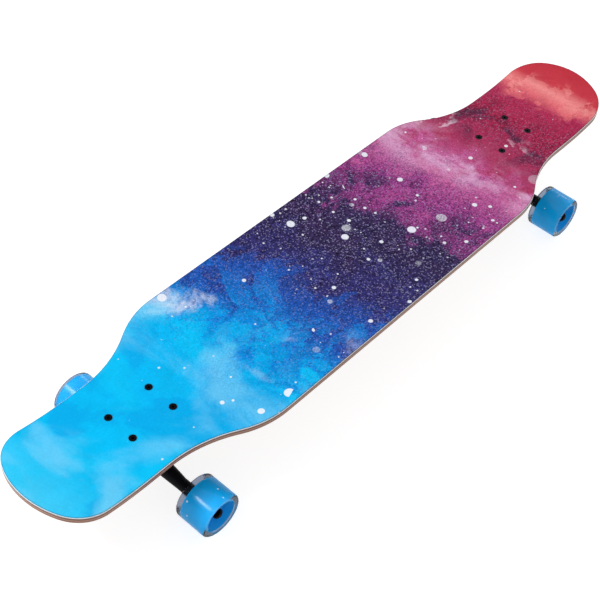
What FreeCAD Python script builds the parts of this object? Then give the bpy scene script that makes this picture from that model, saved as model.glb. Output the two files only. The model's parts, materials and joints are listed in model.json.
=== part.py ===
import FreeCAD, Part
import math
import os
import re

import Sketcher

# A longboard skateboard: a laminated drop-shaped deck with two upturned ends, two reverse-kingpin trucks
# and four wheels on ball bearings. X runs along the board to the nose, Y to its left and Z up. The origin
# is on the ground under the middle of the board.

# Driving dimensions, in millimetres and degrees
SIZES = {
    # Deck, in plan and in section
    "deck_length": 1067,
    "deck_width": 237,
    "deck_thickness": 10,
    "neck_setback": 149.5,
    "neck_width": 151.6,
    "taper_length": 151,
    "shoulder_radius": 118,
    "corner_radius": 53.5,
    "tip_radius": 103,
    "kick_setback": 123.5,
    "kick_radius": 394,
    "flat_width": 130,
    "rail_radius": 295,
    "deck_edge_radius": 2.5,
    "grip_thickness": 0.8,
    "grip_inset": 0.7,
    # Bolt pattern that holds each truck
    "truck_setback": 176,
    "bolt_spacing_along": 63.5,
    "bolt_spacing_short": 53.98,
    "bolt_spacing_across": 41.28,
    "bolt_diameter": 4.8,
    "bolt_head_diameter": 9.4,
    "bolt_head_rim": 0.5,
    "bolt_length": 32,
    "bolt_recess": 0.25,
    "bolt_socket": 3.2,
    "bolt_socket_depth": 2.4,
    "bolt_hole_clearance": 0.3,
    "mounting_nut_width": 9.5,
    "mounting_nut_height": 4,
    "mounting_nut_collar": 1.8,
    "mounting_nut_collar_diameter": 8.4,
    # Riser pad and baseplate
    "riser_thickness": 4,
    "riser_window_length": 34,
    "riser_window_width": 22,
    "plate_length": 86,
    "plate_width": 60,
    "plate_thickness": 6,
    "plate_corner_radius": 9,
    "casting_radius": 2,
    "tower_width": 29,
    "tower_depth": 13,
    "tower_wall": 3,
    "tower_heel": 2,
    "head_pocket_diameter": 18,
    "head_pocket_length": 20,
    "core_pocket_length": 24,
    "core_pocket_depth": 15,
    "core_pocket_offset": 18,
    # Steering geometry: the tilt of the steering axis, and the places of axle and pivot from the ring
    "steer_angle": 45,
    "steer_limit": 18,
    "axle_drop": 66,
    "axle_inset": 1.5,
    "axle_back": 19,
    "axle_rake": 8,
    "pivot_reach": 36,
    # Kingpin, bushings and washers
    "kingpin_diameter": 9.5,
    "kingpin_head_width": 14.3,
    "kingpin_head_height": 6,
    "kingpin_seat_wall": 10,
    "kingpin_end": 3,
    "kingpin_nut_height": 7,
    "kingpin_nut_collar": 2,
    "kingpin_nut_collar_diameter": 12.6,
    "bushing_diameter": 23.5,
    "bushing_end_diameter": 21.5,
    "bushing_cone_diameter": 17,
    "bushing_bore": 10,
    "bushing_bevel": 4,
    "boardside_bushing_height": 15,
    "roadside_bushing_height": 13,
    "bushing_washer_thickness": 2,
    "bushing_washer_lip": 1.2,
    "bushing_washer_wall": 1.2,
    # Hanger and axle
    "hanger_length": 190,
    "arm_diameter": 16,
    "arm_length": 31,
    "arm_face_diameter": 13,
    "arm_face_length": 1.5,
    "shoulder_diameter": 21,
    "shoulder_distance": 30,
    "body_diameter": 23,
    "web_reach": 62,
    "web_thickness": 8,
    "ring_diameter": 36,
    "ring_web": 6,
    "seat_depth": 3,
    "ring_hole": 15,
    "ring_edge_radius": 1.5,
    "nose_diameter": 13.5,
    "nose_tip_diameter": 9.5,
    "nose_chamfer": 2,
    "pivot_cup_diameter": 17,
    "pivot_cup_floor": 2,
    "pivot_clearance": 0.3,
    "axle_diameter": 7.94,
    "axle_end": 1.5,
    "axle_chamfer": 0.8,
    "speed_washer_diameter": 11.4,
    "speed_washer_thickness": 1,
    "spacer_diameter": 10.4,
    "spacer_length": 10,
    "axle_nut_width": 12.7,
    "axle_nut_height": 5,
    "axle_nut_collar": 1.6,
    "axle_nut_collar_diameter": 11,
    # Ball bearings
    "bearing_diameter": 22,
    "bearing_bore": 8,
    "bearing_width": 7,
    "bearing_balls": 7,
    "ball_diameter": 3.97,
    "pitch_diameter": 15,
    "inner_ring_diameter": 12.1,
    "outer_ring_bore": 18.4,
    "race_clearance": 0.05,
    "cage_bore": 13.4,
    "cage_diameter": 16.8,
    "cage_back": 2.75,
    "cage_front": 0.8,
    "cage_pocket_clearance": 0.12,
    "shield_bore": 12.9,
    "shield_thickness": 0.4,
    "shield_recess": 0.15,
    # Wheels
    "wheel_diameter": 61,
    "wheel_width": 46.5,
    "wheel_lip_radius": 3.5,
    "wheel_mouth_diameter": 44.6,
    "core_diameter": 46,
    "core_inner_recess": 6.25,
    "core_outer_recess": 1.75,
    "core_mouth_diameter": 42,
    "core_floor_diameter": 28,
    "core_bore": 19,
    # Fits
    "fit_clearance": 0.05,
    "press_clearance": 0.02,
    "running_gap": 0.5,
    "overrun": 5,
}
FULL_TURN = 360
HALF_TURN = 180
QUARTER_TURN = 90
SIX_SIDES = 6
SAME_POINT = 1e-6
STEEP = 0.5
ORIGIN = FreeCAD.Vector(0, 0, 0)
ALONG = FreeCAD.Vector(1, 0, 0)
ACROSS = FreeCAD.Vector(0, 1, 0)
UP = FreeCAD.Vector(0, 0, 1)
WORD = re.compile(r"[a-z][a-z0-9_]*")

doc = FreeCAD.newDocument("longboard")
sheet = doc.addObject("Spreadsheet::Sheet", "Sizes")
for row, (alias, number) in enumerate(SIZES.items(), start=1):
    sheet.set(f"A{row}", alias)
    sheet.set(f"B{row}", str(number))
    sheet.setAlias(f"B{row}", alias)
doc.recompute()


# Formulas, places and sketches

def formula(text):
    """An expression on the sheet, from one written in the names of its sizes."""
    return WORD.sub(lambda word: f"Sizes.{word.group()}" if word.group() in SIZES else word.group(), text)


def measure(text):
    """The present value of a formula."""
    return float(sheet.evalExpression(formula(text)))


def bind(item, **formulas):
    """Tie properties of an object to formulas."""
    for name, text in formulas.items():
        item.setExpression(name, formula(text))
    return item


def at(x="0", y="0", z="0", axis=UP, angle=0):
    """A placement at a point given by formulas, turned about an axis."""
    point = FreeCAD.Vector(measure(x), measure(y), measure(z))
    return FreeCAD.Placement(point, FreeCAD.Rotation(axis, angle))


def sketch_on(body, role, name):
    """An empty sketch on one of a body's origin planes."""
    sketch = body.newObject("Sketcher::SketchObject", name)
    sketch.AttachmentSupport = (origin_plane(body, role), [""])
    sketch.MapMode = "FlatFace"
    return sketch


def origin_plane(body, role):
    """One of a body's three origin planes."""
    return next(feature for feature in body.Origin.OriginFeatures if feature.Role == role)


def ends(curve):
    """The two end points of a sketch curve, with their numbers."""
    return [(1, curve.StartPoint), (2, curve.EndPoint)]


def join(sketch, smooth=()):
    """Tie together the ends of neighbouring curves of a sketch, with the smooth pairs in line."""
    curves = sketch.Geometry
    for first in range(len(curves)):
        for second in range(first + 1, len(curves)):
            for one, point in ends(curves[first]):
                for other, place in ends(curves[second]):
                    if (point - place).Length < SAME_POINT:
                        kind = "Tangent" if (first, second) in smooth else "Coincident"
                        sketch.addConstraint(Sketcher.Constraint(kind, first, one, second, other))


def dimension(sketch, kind, *where, text):
    """A sketch dimension tied to a formula."""
    index = sketch.addConstraint(Sketcher.Constraint(kind, *where, measure(text)))
    sketch.setExpression(f"Constraints[{index}]", formula(text))


def fix_point(sketch, curve, end, x, y):
    """Hold one end of a sketch curve at a point given by formulas."""
    dimension(sketch, "DistanceX", -1, 1, curve, end, text=x)
    dimension(sketch, "DistanceY", -1, 1, curve, end, text=y)


def polygon(sketch, corners):
    """A closed run of straight lines through corners given by formulas."""
    points = [FreeCAD.Vector(measure(x), measure(y), 0) for x, y in corners]
    for start, end in zip(points, points[1:] + points[:1]):
        sketch.addGeometry(Part.LineSegment(start, end))
    join(sketch)
    for curve, (x, y) in enumerate(corners):
        fix_point(sketch, curve, 1, x, y)


def arc_curve(centre, start, end):
    """The arc about a centre, anticlockwise from start to end."""
    angles = [math.atan2(point.y - centre.y, point.x - centre.x) for point in (start, end)]
    circle = Part.Circle(centre, UP, (start - centre).Length)
    return Part.ArcOfCircle(circle, angles[0], angles[1])


# Solids

def new_body(name):
    """An empty body of features."""
    return doc.addObject("PartDesign::Body", name)


def turned(name, corners):
    """A solid turned about Z, from a profile of radius and height formulas."""
    body = new_body(name)
    sketch = sketch_on(body, "XZ_Plane", f"{name}_profile")
    polygon(sketch, corners)
    revolution = body.newObject("PartDesign::Revolution", f"{name}_turned")
    revolution.Profile = sketch
    revolution.ReferenceAxis = (sketch, ["V_Axis"])
    revolution.Angle = FULL_TURN
    doc.recompute()
    return body


def tube(name, outer, inner, low, high):
    """A plain ring about Z, from its two diameters and the heights of its ends."""
    corners = [(f"{inner} / 2", low), (f"{outer} / 2", low), (f"{outer} / 2", high), (f"{inner} / 2", high)]
    return turned(name, corners)


def cylinder(name, diameter, length, place):
    """A cylinder along its own Z."""
    item = doc.addObject("Part::Cylinder", name)
    bind(item, Radius=f"({diameter}) / 2", Height=length)
    item.Placement = place
    return item


def hexagon(name, width, height, place):
    """A six-sided bar, from its width across the flats."""
    item = doc.addObject("Part::Prism", name)
    item.Polygon = SIX_SIDES
    bind(item, Circumradius=f"({width}) / sqrt(3)", Height=height)
    item.Placement = place
    return item


def fused(name, *parts):
    """Several solids as one."""
    item = doc.addObject("Part::MultiFuse", name)
    item.Shapes = list(parts)
    item.Refine = True
    doc.recompute()
    return item


def cut(name, base, *tools):
    """A solid less its tools."""
    item = doc.addObject("Part::Cut", name)
    item.Base = base
    item.Tool = tools[0] if len(tools) == 1 else group(f"{name}_tools", tools)
    doc.recompute()
    return item


def group(name, parts):
    """Several solids kept apart in one compound."""
    item = doc.addObject("Part::Compound", name)
    item.Links = list(parts)
    return item


def copies(name, master, places):
    """Copies of one solid at several places, as one compound."""
    links = []
    for number, place in enumerate(places, start=1):
        link = doc.addObject("App::Link", f"{name}_{number}")
        link.LinkedObject = master
        link.Placement = place
        links.append(link)
    return group(name, links)


def rounded(name, base, radius, wanted):
    """A solid with the wanted edges rounded."""
    item = doc.addObject("Part::Fillet", name)
    item.Base = base
    size = measure(radius)
    chosen = [index for index, edge in enumerate(base.Shape.Edges, start=1) if wanted(edge)]
    item.Edges = [(index, size, size) for index in chosen]
    doc.recompute()
    return item


def is_rim(diameter, *heights):
    """A test for the circular edges about Z of one diameter at some heights."""
    radius = measure(diameter) / 2
    levels = [measure(height) for height in heights]

    def wanted(edge):
        if not isinstance(edge.Curve, Part.Circle) or abs(edge.Curve.Radius - radius) > SAME_POINT:
            return False
        return any(abs(edge.Curve.Center.z - level) < SAME_POINT for level in levels)
    return wanted


# Deck and grip sheet. The section is flat in the middle and curls up along both rails. It follows a line
# that turns up towards the ends, and the plan outline trims it.

NECK = "(deck_length / 2 - neck_setback)"
STRAIGHT = f"({NECK} - taper_length)"
KICK = "(deck_length / 2 - kick_setback)"
TRUCK = "(deck_length / 2 - truck_setback)"
DECK_EDGE = "(deck_width / 2 + overrun)"
TIP = "(deck_length / 2 + overrun)"
TIP_RISE = "(deck_thickness + kick_radius - sqrt(kick_radius^2 - (kick_setback + overrun)^2))"
RAIL_CENTRE = "(deck_thickness + rail_radius)"
GRIP_TOP = "(deck_thickness + grip_thickness)"


def rail_height(level):
    """The height of the curled layer at a level, where the section ends."""
    return f"{RAIL_CENTRE} - sqrt(({RAIL_CENTRE} - {level})^2 - ({DECK_EDGE} - flat_width / 2)^2)"


def deck_section(body, low, high):
    """The layer from one level to another, across the board."""
    sketch = sketch_on(body, "YZ_Plane", f"{body.Name}_section")
    turn_in = "flat_width / 2"
    corners = []
    for level in (low, high):
        height = rail_height(level)
        side = [(f"-{DECK_EDGE}", height), (f"-{turn_in}", level), (turn_in, level), (DECK_EDGE, height)]
        corners.append(side)
    points = [[FreeCAD.Vector(measure(x), measure(y), 0) for x, y in side] for side in corners]
    centres = [FreeCAD.Vector(sign * measure(turn_in), measure(RAIL_CENTRE), 0) for sign in (-1, 1)]
    for side in points:
        sketch.addGeometry(arc_curve(centres[0], side[0], side[1]))
        sketch.addGeometry(Part.LineSegment(side[1], side[2]))
        sketch.addGeometry(arc_curve(centres[1], side[2], side[3]))
    for end in (0, -1):
        sketch.addGeometry(Part.LineSegment(points[0][end], points[1][end]))
    join(sketch)
    for layer, level in enumerate((low, high)):
        first = layer * 3
        for curve, end, (x, y) in zip((first, first, first + 1, first + 2), (1, 2, 2, 2), corners[layer]):
            fix_point(sketch, curve, end, x, y)
        for curve in (first, first + 2):
            dimension(sketch, "Radius", curve, text=f"{RAIL_CENTRE} - {level}")
    return sketch


def side_line(body):
    """The line of the deck's top along the board: level, then an arc up to past the tip."""
    sketch = sketch_on(body, "XZ_Plane", f"{body.Name}_side_line")
    start = FreeCAD.Vector(0, measure("deck_thickness"), 0)
    bend = FreeCAD.Vector(measure(KICK), start.y, 0)
    centre = bend + FreeCAD.Vector(0, measure("kick_radius"), 0)
    tip = FreeCAD.Vector(measure(TIP), measure(TIP_RISE), 0)
    sketch.addGeometry(Part.LineSegment(start, bend))
    sketch.addGeometry(arc_curve(centre, bend, tip))
    join(sketch)
    fix_point(sketch, 0, 1, "0", "deck_thickness")
    fix_point(sketch, 0, 2, KICK, "deck_thickness")
    fix_point(sketch, 1, 2, TIP, TIP_RISE)
    dimension(sketch, "Radius", 1, text="kick_radius")
    return sketch


def bent_layer(name, low, high):
    """A layer of the board with its upturned ends, wider and longer than the outline."""
    body = new_body(name)
    section = deck_section(body, low, high)
    line = side_line(body)
    pipe = body.newObject("PartDesign::AdditivePipe", f"{name}_half")
    pipe.Profile = section
    pipe.Spine = line
    doc.recompute()
    mirror = body.newObject("PartDesign::Mirrored", f"{name}_whole")
    mirror.Originals = [pipe]
    mirror.MirrorPlane = (origin_plane(body, "YZ_Plane"), [""])
    body.Tip = mirror
    doc.recompute()
    return body


def plan_block(name, inset):
    """A tall block with the plan outline, drawn in by an inset: one quarter, mirrored twice."""
    body = new_body(name)
    sketch = sketch_on(body, "XY_Plane", f"{name}_quarter")
    wide = f"deck_width / 2 - {inset}"
    narrow = f"neck_width / 2 - {inset}"
    tip = f"deck_length / 2 - {inset}"
    shoulder = f"shoulder_radius - {inset}"
    corner = f"corner_radius - {inset}"
    crown = f"tip_radius - {inset}"
    # The shoulder arc and the hollow arc share a tangent, so their turn follows from the two widths
    run = measure("taper_length")
    drop = measure(wide) - measure(narrow)
    turn = 2 * math.atan2(drop, run)
    hollow = run / math.sin(turn) - measure(shoulder)
    straight_end = FreeCAD.Vector(measure(STRAIGHT), measure(wide), 0)
    shoulder_centre = straight_end - FreeCAD.Vector(0, measure(shoulder), 0)
    middle = shoulder_centre + FreeCAD.Vector(math.sin(turn), math.cos(turn), 0) * measure(shoulder)
    neck = FreeCAD.Vector(measure(NECK), measure(narrow), 0)
    hollow_centre = neck + FreeCAD.Vector(0, hollow, 0)
    # The corner arc lies inside the tip's arc and touches it
    tip_centre = FreeCAD.Vector(measure(tip) - measure(crown), 0, 0)
    spread = measure(crown) - measure(corner)
    height = measure(narrow) - measure(corner)
    corner_centre = tip_centre + FreeCAD.Vector(math.sqrt(spread**2 - height**2), height, 0)
    corner_start = corner_centre + FreeCAD.Vector(0, measure(corner), 0)
    corner_end = tip_centre + (corner_centre - tip_centre) * (measure(crown) / spread)
    point = FreeCAD.Vector(measure(tip), 0, 0)
    top = FreeCAD.Vector(0, measure(wide), 0)
    curves = [
        Part.LineSegment(ORIGIN, top),
        Part.LineSegment(top, straight_end),
        arc_curve(shoulder_centre, middle, straight_end),
        arc_curve(hollow_centre, middle, neck),
        Part.LineSegment(neck, corner_start),
        arc_curve(corner_centre, corner_end, corner_start),
        arc_curve(tip_centre, point, corner_end),
        Part.LineSegment(point, ORIGIN),
    ]
    for curve in curves:
        sketch.addGeometry(curve)
    join(sketch, smooth=((1, 2), (2, 3), (3, 4), (4, 5), (5, 6)))
    fix_point(sketch, 0, 1, "0", "0")
    fix_point(sketch, 1, 1, "0", wide)
    fix_point(sketch, 1, 2, STRAIGHT, wide)
    fix_point(sketch, 4, 1, NECK, narrow)
    fix_point(sketch, 7, 1, tip, "0")
    sketch.addConstraint(Sketcher.Constraint("Horizontal", 4))
    sketch.addConstraint(Sketcher.Constraint("PointOnObject", 6, 3, -1))
    dimension(sketch, "Radius", 2, text=shoulder)
    dimension(sketch, "Radius", 5, text=corner)
    dimension(sketch, "Radius", 6, text=crown)
    pad = body.newObject("PartDesign::Pad", f"{name}_pad")
    pad.Profile = sketch
    bind(pad, Length=f"{TIP_RISE} + {rail_height(GRIP_TOP)} + 2 * overrun")
    doc.recompute()
    both = body.newObject("PartDesign::MultiTransform", f"{name}_mirrored")
    mirrors = []
    for role in ("XZ_Plane", "YZ_Plane"):
        mirror = body.newObject("PartDesign::Mirrored", f"{name}_{role}")
        mirror.MirrorPlane = (origin_plane(body, role), [""])
        mirrors.append(mirror)
    both.Originals = [pad]
    both.Transformations = mirrors
    body.Tip = both
    doc.recompute()
    body.Placement = at(z="-overrun")
    return body


def bolt_places(spacings=("bolt_spacing_along / 2", "-bolt_spacing_along / 2"), height="0"):
    """The bolt centres of one truck, from its middle."""
    return [at(x, f"{sign} * bolt_spacing_across / 2", height) for x in spacings for sign in (1, -1)]


def truck_places():
    """The middles of the two bolt patterns, on the ground line."""
    return {
        "front": at(TRUCK),
        "rear": at(f"-{TRUCK}", axis=UP, angle=HALF_TURN),
    }


def all_bolt_places():
    """The bolt centres of both trucks."""
    return [truck.multiply(bolt) for truck in truck_places().values() for bolt in bolt_places()]


def trimmed(name, low, high, inset, hole):
    """A layer of the board, trimmed to the plan outline and drilled."""
    blank = doc.addObject("Part::Common", f"{name}_blank")
    blank.Base = bent_layer(f"{name}_layer", low, high)
    blank.Tool = plan_block(f"{name}_plan", inset)
    doc.recompute()
    return cut(name, blank, copies(f"{name}_holes", hole, all_bolt_places()))


HEAD_TOP = f"({GRIP_TOP} - bolt_recess)"
HEAD_RADIUS = "(bolt_head_diameter / 2)"
HEAD_CONE = "((bolt_head_diameter - bolt_diameter) / 2)"
HOLE_RADIUS = "(bolt_diameter / 2 + bolt_hole_clearance)"


def make_bolt_hole():
    """What a countersunk bolt takes out of deck and grip sheet."""
    wide = f"{HEAD_RADIUS} + bolt_hole_clearance"
    return turned("bolt_hole", [
        ("0", "-overrun"),
        (HOLE_RADIUS, "-overrun"),
        (HOLE_RADIUS, f"{HEAD_TOP} - bolt_head_rim - {HEAD_CONE}"),
        (wide, f"{HEAD_TOP} - bolt_head_rim"),
        (wide, f"{GRIP_TOP} + overrun"),
        ("0", f"{GRIP_TOP} + overrun"),
    ])


def face_slope(face):
    """How far a face looks up or down, at its middle."""
    first, last, low, high = face.ParameterRange
    return face.normalAt((first + last) / 2, (low + high) / 2).z


def make_deck(hole):
    """The laminated board, with its lower edge eased."""
    board = trimmed("deck_sawn", "0", "deck_thickness", "0", hole)

    def lower_edge(edge):
        slopes = [face_slope(face) for face in board.Shape.ancestorsOfType(edge, Part.Face)]
        return not edge.isClosed() and min(slopes) < -STEEP < max(slopes) < STEEP
    return rounded("deck_eased", board, "deck_edge_radius", lower_edge)


# Mounting hardware, riser pad and baseplate, from the middle of the baseplate's board face

def make_bolt():
    """A countersunk bolt with a hexagon socket, its deck level at zero."""
    blank = turned("bolt_blank", [
        ("0", f"{HEAD_TOP} - bolt_length"),
        ("bolt_diameter / 2", f"{HEAD_TOP} - bolt_length"),
        ("bolt_diameter / 2", f"{HEAD_TOP} - bolt_head_rim - {HEAD_CONE}"),
        (HEAD_RADIUS, f"{HEAD_TOP} - bolt_head_rim"),
        (HEAD_RADIUS, HEAD_TOP),
        ("0", HEAD_TOP),
    ])
    place = at(z=f"{HEAD_TOP} - bolt_socket_depth")
    return cut("bolt", blank, hexagon("bolt_socket", "bolt_socket", "bolt_socket_depth + overrun", place))


def make_nut(name, width, height, collar, collar_diameter, bore):
    """A lock nut that sits on zero and points up: a hexagon with a round collar."""
    flats = hexagon(f"{name}_flats", width, height, at())
    ring = cylinder(f"{name}_collar", collar_diameter, f"{height} + {collar}", at())
    hole = cylinder(f"{name}_bore", f"{bore} + 2 * fit_clearance", f"{height} + {collar} + 2 * overrun",
                    at(z="-overrun"))
    return cut(name, fused(f"{name}_blank", flats, ring), hole)


def plate(name, thickness, low):
    """A flat plate with round corners, between a level and its thickness above it."""
    box = doc.addObject("Part::Box", f"{name}_box")
    bind(box, Length="plate_length", Width="plate_width", Height=thickness)
    box.Placement = at("-plate_length / 2", "-plate_width / 2", low)
    doc.recompute()

    def upright(edge):
        return abs(edge.BoundBox.ZLength - edge.Length) < SAME_POINT
    return rounded(name, box, "plate_corner_radius", upright)


BOLT_ROWS = (
    "bolt_spacing_along / 2",
    "-bolt_spacing_along / 2",
    "bolt_spacing_along / 2 - bolt_spacing_short",
)


def bolt_drills(name):
    """The six holes that serve both common bolt patterns."""
    depth = "plate_thickness + riser_thickness + 2 * overrun"
    drill = cylinder(f"{name}_drill", f"2 * {HOLE_RADIUS}", depth, at())
    return copies(f"{name}_drills", drill, bolt_places(BOLT_ROWS, "-plate_thickness - overrun"))


def make_riser():
    """The pad between deck and baseplate, with a window in the middle."""
    window = doc.addObject("Part::Box", "riser_window")
    bind(window, Length="riser_window_length", Width="riser_window_width",
         Height="riser_thickness + 2 * overrun")
    window.Placement = at("-riser_window_length / 2", "-riser_window_width / 2", "-overrun")
    return cut("riser_pad", plate("riser_plate", "riser_thickness", "0"), bolt_drills("riser"), window)


# The steering frame has its origin in the middle of the hanger's ring, X along the steering axis and Z along
# the kingpin, up to the board.

RING_OUT = "(axle_back * cos(steer_angle) - axle_rake * sin(steer_angle) - axle_inset)"
RING_UP = "(axle_back * sin(steer_angle) + axle_rake * cos(steer_angle) - axle_drop)"
SEAT_LEVEL = "(ring_web / 2 + boardside_bushing_height + bushing_washer_thickness)"
ROAD_LEVEL = "(ring_web / 2 + roadside_bushing_height + bushing_washer_thickness)"
HEAD_LEVEL = f"({SEAT_LEVEL} + kingpin_seat_wall)"
ARM_REAR = "(axle_back + arm_diameter / 2)"
BODY_BACK = f"({ARM_REAR} - body_diameter / 2)"
TOWER_BACK = f"({ARM_REAR} + running_gap)"
BOSS_RADIUS = "(pivot_cup_diameter / 2 + tower_wall)"


def steering_place(x="0", z="0", axis=UP, angle=0):
    """A place in the steering frame, seen from the baseplate."""
    frame = at(RING_OUT, "0", RING_UP, ACROSS, -measure("steer_angle"))
    return frame.multiply(at(x, "0", z, axis, angle))


def tilted(x, z):
    """A point of the steering frame, as formulas seen from the baseplate."""
    out = f"{RING_OUT} + ({x}) * cos(steer_angle) - ({z}) * sin(steer_angle)"
    up = f"{RING_UP} + ({x}) * sin(steer_angle) + ({z}) * cos(steer_angle)"
    return out, up


def make_tower():
    """The wedge under the plate: a sloped bushing seat and a tower that holds the pivot cup."""
    body = new_body("tower")
    sketch = sketch_on(body, "XZ_Plane", "tower_profile")
    inside = "-plate_thickness / 2"
    seat_out, seat_up = tilted("0", SEAT_LEVEL)
    polygon(sketch, [
        (f"{seat_out} + ({inside} - ({seat_up})) / tan(steer_angle)", inside),
        tilted(f"-{TOWER_BACK}", SEAT_LEVEL),
        tilted(f"-{TOWER_BACK}", f"-{BOSS_RADIUS}"),
        tilted(f"-{TOWER_BACK} - tower_depth", f"-{BOSS_RADIUS}"),
        tilted(f"-{TOWER_BACK} - tower_depth", "boardside_bushing_height"),
        ("tower_heel - plate_length / 2", inside),
    ])
    pad = body.newObject("PartDesign::Pad", "tower_pad")
    pad.Profile = sketch
    pad.Midplane = True
    bind(pad, Length="tower_width")
    doc.recompute()
    side = measure("tower_width") / 2

    def outer(edge):
        on_side = abs(abs(edge.CenterOfMass.y) - side) < SAME_POINT and edge.BoundBox.YLength < SAME_POINT
        return on_side and edge.BoundBox.ZMin < -measure("plate_thickness")
    return rounded("tower_cast", body, "casting_radius", outer)


def make_baseplate():
    """The cast baseplate, bored for the kingpin, its head and the pivot cup."""
    under = -measure("plate_thickness")

    def lower_edge(edge):
        return edge.BoundBox.ZLength < SAME_POINT and abs(edge.BoundBox.ZMin - under) < SAME_POINT
    base = plate("base", "plate_thickness", "-plate_thickness")
    eased = rounded("base_eased", base, "casting_radius", lower_edge)
    casting = fused("baseplate_casting", eased, make_tower())
    kingpin_hole = cylinder("kingpin_hole", "kingpin_diameter + 2 * fit_clearance",
                            "kingpin_seat_wall + 2 * overrun", steering_place(z=f"{SEAT_LEVEL} - overrun"))
    head_pocket = cylinder("head_pocket", "head_pocket_diameter", "head_pocket_length",
                           steering_place(z=HEAD_LEVEL))
    cup_bore = cylinder("cup_bore", "pivot_cup_diameter + 2 * fit_clearance",
                        f"pivot_reach + pivot_clearance + pivot_cup_floor - {TOWER_BACK} + overrun",
                        steering_place(f"overrun - {TOWER_BACK}", "0", ACROSS, -QUARTER_TURN))
    core = doc.addObject("Part::Box", "core_pocket")
    bind(core, Length="core_pocket_length", Width="head_pocket_diameter",
         Height="core_pocket_depth + overrun")
    core.Placement = at("-core_pocket_offset - core_pocket_length / 2", "-head_pocket_diameter / 2",
                        "-core_pocket_depth")
    return cut("baseplate", casting, kingpin_hole, head_pocket, cup_bore, core, bolt_drills("base"))


# Kingpin stack, in the steering frame

def make_kingpin():
    """A hexagon-headed bolt from the baseplate down through the ring."""
    end = f"{ROAD_LEVEL} + kingpin_nut_height + kingpin_nut_collar + kingpin_end"
    shank = cylinder("kingpin_shank", "kingpin_diameter", f"{HEAD_LEVEL} + {end}", at(z=f"-({end})"))
    head = hexagon("kingpin_head", "kingpin_head_width", "kingpin_head_height", at(z=HEAD_LEVEL))
    return fused("kingpin", shank, head)


def make_boardside_bushing():
    """A barrel bushing, widest at its middle, on the upper seat of the ring."""
    return turned("boardside_bushing", [
        ("bushing_bore / 2", "ring_web / 2"),
        ("bushing_end_diameter / 2", "ring_web / 2"),
        ("bushing_diameter / 2", "ring_web / 2 + bushing_bevel"),
        ("bushing_diameter / 2", "ring_web / 2 + boardside_bushing_height - bushing_bevel"),
        ("bushing_end_diameter / 2", "ring_web / 2 + boardside_bushing_height"),
        ("bushing_bore / 2", "ring_web / 2 + boardside_bushing_height"),
    ])


def make_roadside_bushing():
    """A cone bushing that narrows to the nut, under the lower seat of the ring."""
    return turned("roadside_bushing", [
        ("bushing_bore / 2", "-ring_web / 2"),
        ("bushing_end_diameter / 2", "-ring_web / 2"),
        ("bushing_end_diameter / 2", "-ring_web / 2 - seat_depth"),
        ("bushing_cone_diameter / 2", "-ring_web / 2 - roadside_bushing_height"),
        ("bushing_bore / 2", "-ring_web / 2 - roadside_bushing_height"),
    ])


def washer_rim(diameter):
    """The outer radius of the cup washer for a bushing's end."""
    return f"({diameter} / 2 + running_gap + bushing_washer_wall)"


ROAD_RIM = washer_rim("bushing_cone_diameter")


def make_bushing_washer(name, diameter, base, facing):
    """A cup washer whose lip stands round the end of a bushing, facing it along Z."""
    rim = f"({diameter} / 2 + running_gap)"
    outer = washer_rim(diameter)
    bore = "bushing_bore / 2"
    floor = f"{base} + ({facing}) * bushing_washer_thickness"
    lip = f"{floor} + ({facing}) * bushing_washer_lip"
    return turned(name, [
        (bore, base),
        (outer, base),
        (outer, lip),
        (rim, lip),
        (rim, floor),
        (bore, floor),
    ])


def nose_radius(clearance):
    """The radii of the hanger's nose, or of the cup around it, and the depths where they hold."""
    tip = f"pivot_reach + {clearance}"
    return [
        (f"nose_diameter / 2 + {clearance}", TOWER_BACK),
        (f"nose_tip_diameter / 2 + {clearance}", f"{tip} - nose_chamfer"),
        (f"nose_tip_diameter / 2 - nose_chamfer + {clearance}", tip),
        ("0", tip),
    ]


def make_pivot_cup():
    """The cup that the hanger's nose turns in, its depth along Z."""
    end = "pivot_reach + pivot_clearance + pivot_cup_floor - fit_clearance"
    return turned("pivot_cup", nose_radius("pivot_clearance") + [
        ("0", end),
        ("pivot_cup_diameter / 2", end),
        ("pivot_cup_diameter / 2", TOWER_BACK),
    ])


# Hanger and axle, in the steering frame

def arm_sections():
    """The circles of one arm of the hanger: their distances and diameters."""
    return [
        ("0", "body_diameter"),
        ("shoulder_distance", "shoulder_diameter"),
        ("hanger_length / 2 - arm_length", "arm_diameter"),
    ]


def make_arm(name, sign, level):
    """One arm: a flared body that tapers to a round bar, its rear and road sides kept straight."""
    circles = []
    for number, (distance, diameter) in enumerate(arm_sections()):
        circle = doc.addObject("Part::Circle", f"{name}_section_{number}")
        bind(circle, Radius=f"{diameter} / 2")
        circle.Placement = at(f"{diameter} / 2 - {ARM_REAR}", f"{sign} * ({distance})",
                              f"{level} + {diameter} / 2", ALONG, -sign * QUARTER_TURN)
        circles.append(circle)
    loft = doc.addObject("Part::Loft", f"{name}_flare")
    loft.Sections = circles
    loft.Solid = True
    start = "hanger_length / 2 - arm_length"
    turn = -sign * QUARTER_TURN
    bar = cylinder(f"{name}_bar", "arm_diameter", "arm_length - arm_face_length",
                   at("-axle_back", f"{sign} * ({start})", "-axle_rake", ALONG, turn))
    face = cylinder(f"{name}_face", "arm_face_diameter", "arm_length",
                    at("-axle_back", f"{sign} * ({start})", "-axle_rake", ALONG, turn))
    doc.recompute()
    return [loft, bar, face]


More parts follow.
